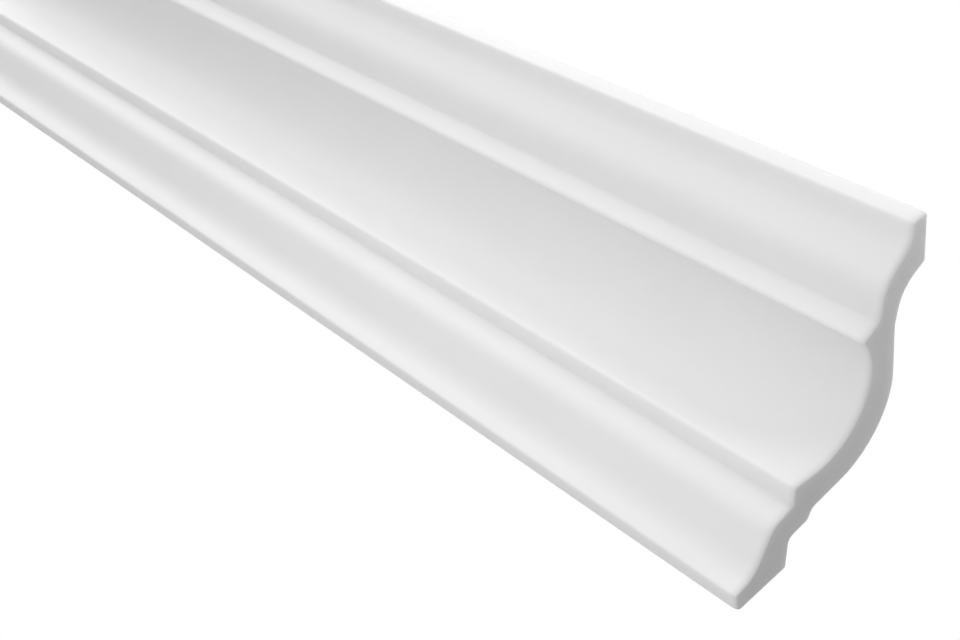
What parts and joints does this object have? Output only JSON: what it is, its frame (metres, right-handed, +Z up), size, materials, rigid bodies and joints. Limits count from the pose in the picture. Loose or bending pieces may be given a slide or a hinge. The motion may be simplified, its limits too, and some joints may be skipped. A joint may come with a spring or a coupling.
{
  "type": "crown moulding length",
  "caption": "Straight length of hard-foam crown moulding with ogees, fillets and a deep cove, glued into the corner between a wall and a ceiling.",
  "frame": {"origin": "middle of the wall seat, half way along the length", "axes": "+X along the moulding, +Y towards the wall, square to the wall seat, +Z up, square to the ceiling seat"},
  "size_m": [0.6, 0.1, 0.093],
  "materials": {
    "foam": "white extruded hard foam with a smooth satin skin, and a matt sawn face at both ends"
  },
  "bodies": {
    "root": {"crown_moulding": "foam"}
  },
  "joints": []
}
